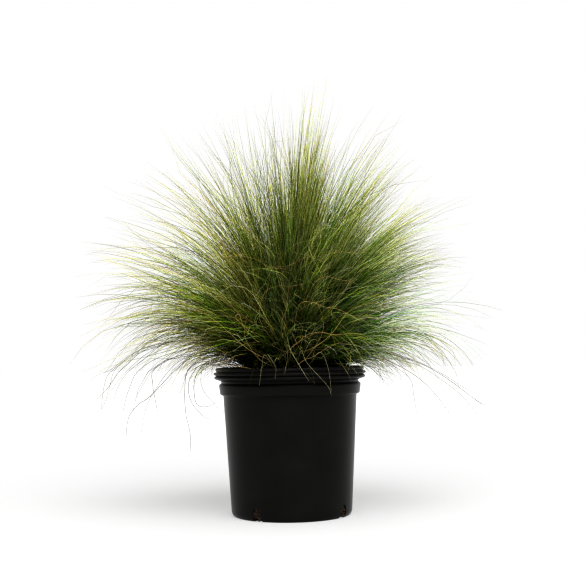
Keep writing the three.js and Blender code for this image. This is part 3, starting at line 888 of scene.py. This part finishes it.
# Single dry blades that hang out past the lip, over it, or stray across the front. Each
# is how far in front of the pot's axis it lies, and the (x, z) points that it passes after it leaves the
# crown, all in mm.
HANGING = [
    (30, [(-86, 164), (-95, 158), (-101, 147), (-102, 132), (-99, 120), (-89, 118), (-79, 122)]),
    (45, [(-86, 163), (-92, 155), (-93, 142), (-88, 131), (-80, 122), (-75, 115), (-73, 106)]),
    (10, [(-92, 163), (-106, 150), (-109, 136), (-106, 123), (-100, 114), (-91, 105), (-80, 103)]),
    (20, [(-88, 166), (-108, 158), (-112, 136), (-111, 112), (-108, 99), (-106, 86), (-107, 69)]),
    (35, [(-90, 172), (-115, 168), (-132, 152), (-141, 139), (-148, 127), (-153, 112), (-157, 86)]),
    (5, [(-92, 176), (-120, 160), (-150, 130), (-162, 122), (-172, 111), (-176, 99), (-178, 84)]),
    (-30, [(-90, 178), (-120, 174), (-150, 158), (-152, 142), (-149, 120), (-147, 106)]),
    (25, [(-95, 184), (-140, 178), (-168, 160), (-178, 149), (-184, 136), (-187, 121)]),
    (15, [(-95, 186), (-150, 182), (-175, 164), (-186, 153), (-194, 140), (-210, 123)]),
    (-15, [(-95, 188), (-160, 182), (-198, 158), (-210, 154), (-220, 144)]),
    (-5, [(-95, 180), (-140, 172), (-166, 156), (-175, 140), (-181, 124), (-185, 106)]),
    (40, [(-92, 174), (-125, 170), (-143, 158), (-153, 143), (-162, 128)]),
    (0, [(-88, 168), (-108, 160), (-116, 140), (-122, 129)]),
    (-40, [(-95, 186), (-160, 180), (-195, 160), (-202, 142), (-209, 118), (-214, 114)]),
    (20, [(-95, 186), (-150, 184), (-188, 160), (-198, 146), (-202, 112)]),
    (10, [(90, 168), (108, 165), (130, 164), (155, 153), (180, 136), (205, 116), (217, 108)]),
    (-10, [(90, 170), (112, 165), (140, 158), (162, 144), (185, 126), (198, 111), (209, 97)]),
    (25, [(90, 166), (112, 160), (135, 146), (150, 132), (161, 119), (176, 98)]),
    (30, [(90, 166), (110, 158), (128, 144), (132, 126), (136, 98)]),
    (0, [(92, 172), (125, 166), (150, 156), (175, 140), (200, 120), (214, 112)]),
    (-25, [(92, 172), (130, 166), (165, 150), (190, 134), (205, 125)]),
    (35, [(88, 165), (94, 150), (104, 137)]),
]
OVER_LIP = [
    (84, [(-25, 172), (-28, 160), (-31, 140)]),
    (84, [(-22, 173), (-14, 160), (-15, 147)]),
    (84, [(-2, 182), (3, 173), (14, 154), (20, 144)]),
    (84, [(12, 176), (18, 163), (38, 140), (42, 129)]),
    (84, [(31, 174), (39, 158), (42, 131)]),
]
STRAYING = [
    (115, [(-3, 184), (-7, 193), (-7, 205), (-1, 220), (-4, 229), (-7, 242), (-5, 255), (7, 264),
           (23, 269), (39, 268)]),
    (115, [(-24, 210), (-36, 262), (-33, 282), (-27, 276), (-25, 264), (-19, 259), (-5, 259), (9, 263)]),
    (115, [(-28, 205), (-24, 232), (-11, 240), (3, 240), (20, 243)]),
    (114, [(-4, 200), (0, 235), (3, 255), (10, 274), (16, 292)]),
    (100, [(-4, 172), (8, 183), (28, 193), (52, 190)]),
    (96, [(12, 165), (24, 170), (39, 179), (56, 185)]),
    (116, [(-40, 178), (-70, 205), (-96, 222), (-116, 220)]),
    (100, [(-30, 168), (-44, 190), (-42, 210), (-34, 226)]),
    (100, [(20, 172), (34, 196), (30, 220), (18, 232)]),
    (112, [(40, 190), (60, 214), (84, 222), (100, 216)]),
    (118, [(-70, 232), (-77, 270), (-61, 270), (-53, 272), (-42, 270), (-29, 266), (-18, 258), (0, 257)]),
    (118, [(20, 240), (36, 268), (53, 273), (67, 271), (84, 272)]),
    (114, [(22, 236), (36, 248), (49, 245), (62, 243), (70, 239)]),
    (118, [(10, 220), (25, 223), (34, 219), (49, 216), (62, 209), (71, 204)]),
    (108, [(-25, 214), (-34, 231), (-37, 243), (-46, 258), (-57, 270)]),
    (112, [(-50, 206), (-49, 213), (-45, 201), (-37, 191), (-29, 184)]),
    (116, [(2, 178), (10, 185), (17, 191), (31, 194), (44, 191), (62, 192), (73, 191)]),
    (104, [(-66, 164), (-60, 168), (-53, 172), (-42, 174)]),
    (116, [(-62, 226), (-80, 240), (-96, 250), (-112, 252)]),
    (112, [(50, 226), (66, 250), (88, 262), (112, 262)]),
]
WISP_STATIONS = 24


def through(knots, count):
    """count points of a smooth Catmull-Rom curve through knots."""
    padded = np.concatenate([[2 * knots[0] - knots[1]], knots, [2 * knots[-1] - knots[-2]]])
    places = np.linspace(0, len(knots) - 1, count)
    first = np.minimum(places.astype(int), len(knots) - 2)
    t = (places - first)[:, None]
    a, b, c, d = (padded[first + k] for k in range(4))
    return 0.5 * (2 * b + (c - a) * t + (2 * a - 5 * b + 4 * c - d) * t ** 2
                  + (3 * b - a - 3 * c + d) * t ** 3)


def make_wisps(name, wisps, colour, half_width, crown_radius, swing, material, rng):
    """Dry blades from a list, each from the crown through its own points.

    swing is how far they sway towards the viewer and away again on their way to the tip.
    """
    paths = []
    for front, points in wisps:
        knots = [(x * MM, -front * MM, z * MM) for x, z in points]
        out = np.array([knots[0][0], knots[0][1], 0])
        out *= crown_radius / np.linalg.norm(out)
        halfway = (SOIL_Z + points[0][1] * MM) / 2
        start = [out + [0, 0, SOIL_Z - ROOT_DEPTH], out * 1.25 + [0, 0, halfway]]
        paths.append(through(np.array([*start, *knots]), WISP_STATIONS))
    count = len(paths)
    shares = np.linspace(0, 1, WISP_STATIONS)
    paths = np.array(paths)
    paths[:, :, 1] += swing * shares * np.sin(rng.uniform(0, ROUND, (count, 1)) + 4 * shares)
    radii = half_width * rng.uniform(0.8, 1.2, (count, 1)) * (1 - 0.5 * shares ** 2)
    # Painted shade: each wisp is darker over the first third of its length, towards the crown where the
    # tussock shades it.
    tone = np.exp(rng.normal(0, 0.25, (count, 1, 1))) * np.clip(shares * 3, 0.15, 1)[:, None]
    piece = strands_object(name, paths, radii, np.clip(colour * tone, 0, 0.85), material)
    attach(piece, "root")


def make_tussock():
    """The whole plant: every tuft, then the single dry blades."""
    green = blade_material("green_blade", 0.5, 0.5)
    straw = blade_material("straw_blade", 0.62, 0.5)
    tufts = [tuft for i, ring in enumerate(RINGS) for tuft in tufts_of(ring, i)]
    for index, tuft in enumerate(tufts):
        grow_tuft(tuft, index, straw if is_straw(tuft) else green)
    rng = np.random.default_rng(WISP_SEED)
    for name, wisps, colour, half_width, crown_radius, swing in [
            ("hanging_wisps", HANGING, (0.12, 0.10, 0.05), 0.27 * MM, 42 * MM, 11 * MM),
            ("lip_wisps", OVER_LIP, (0.7, 0.64, 0.46), 0.24 * MM, 46 * MM, -2 * MM),
            ("straying_wisps", STRAYING, (0.68, 0.50, 0.22), 0.18 * MM, 30 * MM, 11 * MM)]:
        make_wisps(name, wisps, np.array(colour), half_width, crown_radius, swing, straw, rng)


# ---- floor, light and camera ----

WHITE = (1, 1, 1, 1)
FLOOR_RADIUS = 9
FLOOR_SIDES = 96
FLOOR_GREY = (0.25, 0.25, 0.25, 1)
# The floor's own glow near the axis and far from it, and the distances between which it rises.
FLOOR_GLOW = (0.5, 1.0)
GLOW_RISE = (0.12, 1.9)
# The world's light on the plant, by the Y of the way that it comes from, which is 1 right behind.
WORLD_LIGHT = (0.02, 1.0)
WORLD_Y = (-0.4, 0.9)


def make_floor():
    """A pale floor disc with painted light: it glows less near the pot, where the key light's shadow
    shows, and as bright as the surroundings towards its edge.
    """
    angles = [2 * math.pi * i / FLOOR_SIDES for i in range(FLOOR_SIDES)]
    vertices = [(FLOOR_RADIUS * math.cos(a), FLOOR_RADIUS * math.sin(a), 0) for a in angles]
    n = Nodes("pale_floor")
    n.shader.inputs["Base Color"].default_value = FLOOR_GREY
    n.shader.inputs["Roughness"].default_value = 0.9
    n.shader.inputs["Specular IOR Level"].default_value = 0.1
    place = n.add("ShaderNodeTexCoord").outputs["Object"]
    distance = n.add("ShaderNodeVectorMath", {0: place}, operation="LENGTH").outputs["Value"]
    settings = {"Value": distance, "From Min": GLOW_RISE[0], "From Max": GLOW_RISE[1]}
    glow = n.add("ShaderNodeMapRange", settings, interpolation_type="SMOOTHSTEP").outputs["Result"]
    n.shader.inputs["Emission Color"].default_value = WHITE
    n.put(n.shader.inputs["Emission Strength"], n.range(glow, *FLOOR_GLOW))
    floor = new_object("floor", vertices, [tuple(range(FLOOR_SIDES))], n.material, smooth=False)


def make_world():
    """White to the camera all round; the light that it casts is strong from behind, faint in front."""
    world = bpy.data.worlds.new("studio")
    bpy.context.scene.world = world
    world.use_nodes = True
    nodes, links = world.node_tree.nodes, world.node_tree.links
    nodes.clear()
    place = nodes.new("ShaderNodeTexCoord")
    split = nodes.new("ShaderNodeSeparateXYZ")
    links.new(place.outputs["Generated"], split.inputs[0])
    ramp = nodes.new("ShaderNodeMapRange")
    ramp.inputs["From Min"].default_value, ramp.inputs["From Max"].default_value = WORLD_Y
    ramp.inputs["To Min"].default_value, ramp.inputs["To Max"].default_value = WORLD_LIGHT
    links.new(split.outputs["Y"], ramp.inputs["Value"])
    light = nodes.new("ShaderNodeBackground")
    links.new(ramp.outputs["Result"], light.inputs["Strength"])
    seen = nodes.new("ShaderNodeBackground")
    seen.inputs["Strength"].default_value = 1.0
    seen.inputs["Color"].default_value = WHITE
    light.inputs["Color"].default_value = WHITE
    path = nodes.new("ShaderNodeLightPath")
    mix = nodes.new("ShaderNodeMixShader")
    output = nodes.new("ShaderNodeOutputWorld")
    links.new(path.outputs["Is Camera Ray"], mix.inputs[0])
    links.new(light.outputs[0], mix.inputs[1])
    links.new(seen.outputs[0], mix.inputs[2])
    links.new(mix.outputs[0], output.inputs["Surface"])


def area_light(name, location, target, size, power):
    """A round soft light at location that points at target."""
    data = bpy.data.lights.new(name, "AREA")
    data.shape = "DISK"
    data.size = size
    data.energy = power
    light = bpy.data.objects.new(name, data)
    bpy.context.scene.collection.objects.link(light)
    light.location = location
    way = Vector(target) - Vector(location)
    light.rotation_mode = "QUATERNION"
    light.rotation_quaternion = way.to_track_quat("-Z", "Y")


CAMERA_DISTANCE = 1.2  # metres in front of the axis
CAMERA_HEIGHT = 0.1773
CAMERA_PITCH = 2.96  # degrees upwards
CAMERA_YAW = 0.22  # degrees towards +X
CAMERA_ROLL = -0.99  # degrees
LENS = 67.75  # mm, on a sensor 36 mm wide
SENSOR = 36
# The picture's brightness curve, and the width in pixels over which it is sampled.
VIEW_GAMMA = 0.78
PIXEL_FILTER = 1.3


def make_camera():
    """The camera at the viewer's place, a little above the pot's rim."""
    data = bpy.data.cameras.new("camera")
    data.lens = LENS
    data.sensor_width = SENSOR
    camera = bpy.data.objects.new("camera", data)
    bpy.context.scene.collection.objects.link(camera)
    camera.matrix_world = (
        Matrix.Translation((0, -CAMERA_DISTANCE, CAMERA_HEIGHT))
        @ Matrix.Rotation(math.radians(-CAMERA_YAW), 4, "Z")
        @ Matrix.Rotation(math.radians(90 + CAMERA_PITCH), 4, "X")
        @ Matrix.Rotation(math.radians(CAMERA_ROLL), 4, "Z"))
    bpy.context.scene.camera = camera


make_camera()
make_world()
area_light("key", location=(0.2, -0.92, 2.0), target=(0, 0, 0.2), size=1.8, power=105)
make_floor()
make_pot()
make_root_ball(np.random.default_rng(ROOT_BALL_SEED))
make_soil_surface(np.random.default_rng(SOIL_SURFACE_SEED))
make_drain_fillings(np.random.default_rng(DRAIN_SEED))
make_tussock()
bpy.context.scene.view_settings.view_transform = "Standard"
bpy.context.scene.view_settings.gamma = VIEW_GAMMA
bpy.context.scene.cycles.filter_width = PIXEL_FILTER
# Without a prefilter the denoiser leaves thin blades crisper.
bpy.context.scene.cycles.denoising_prefilter = "NONE"
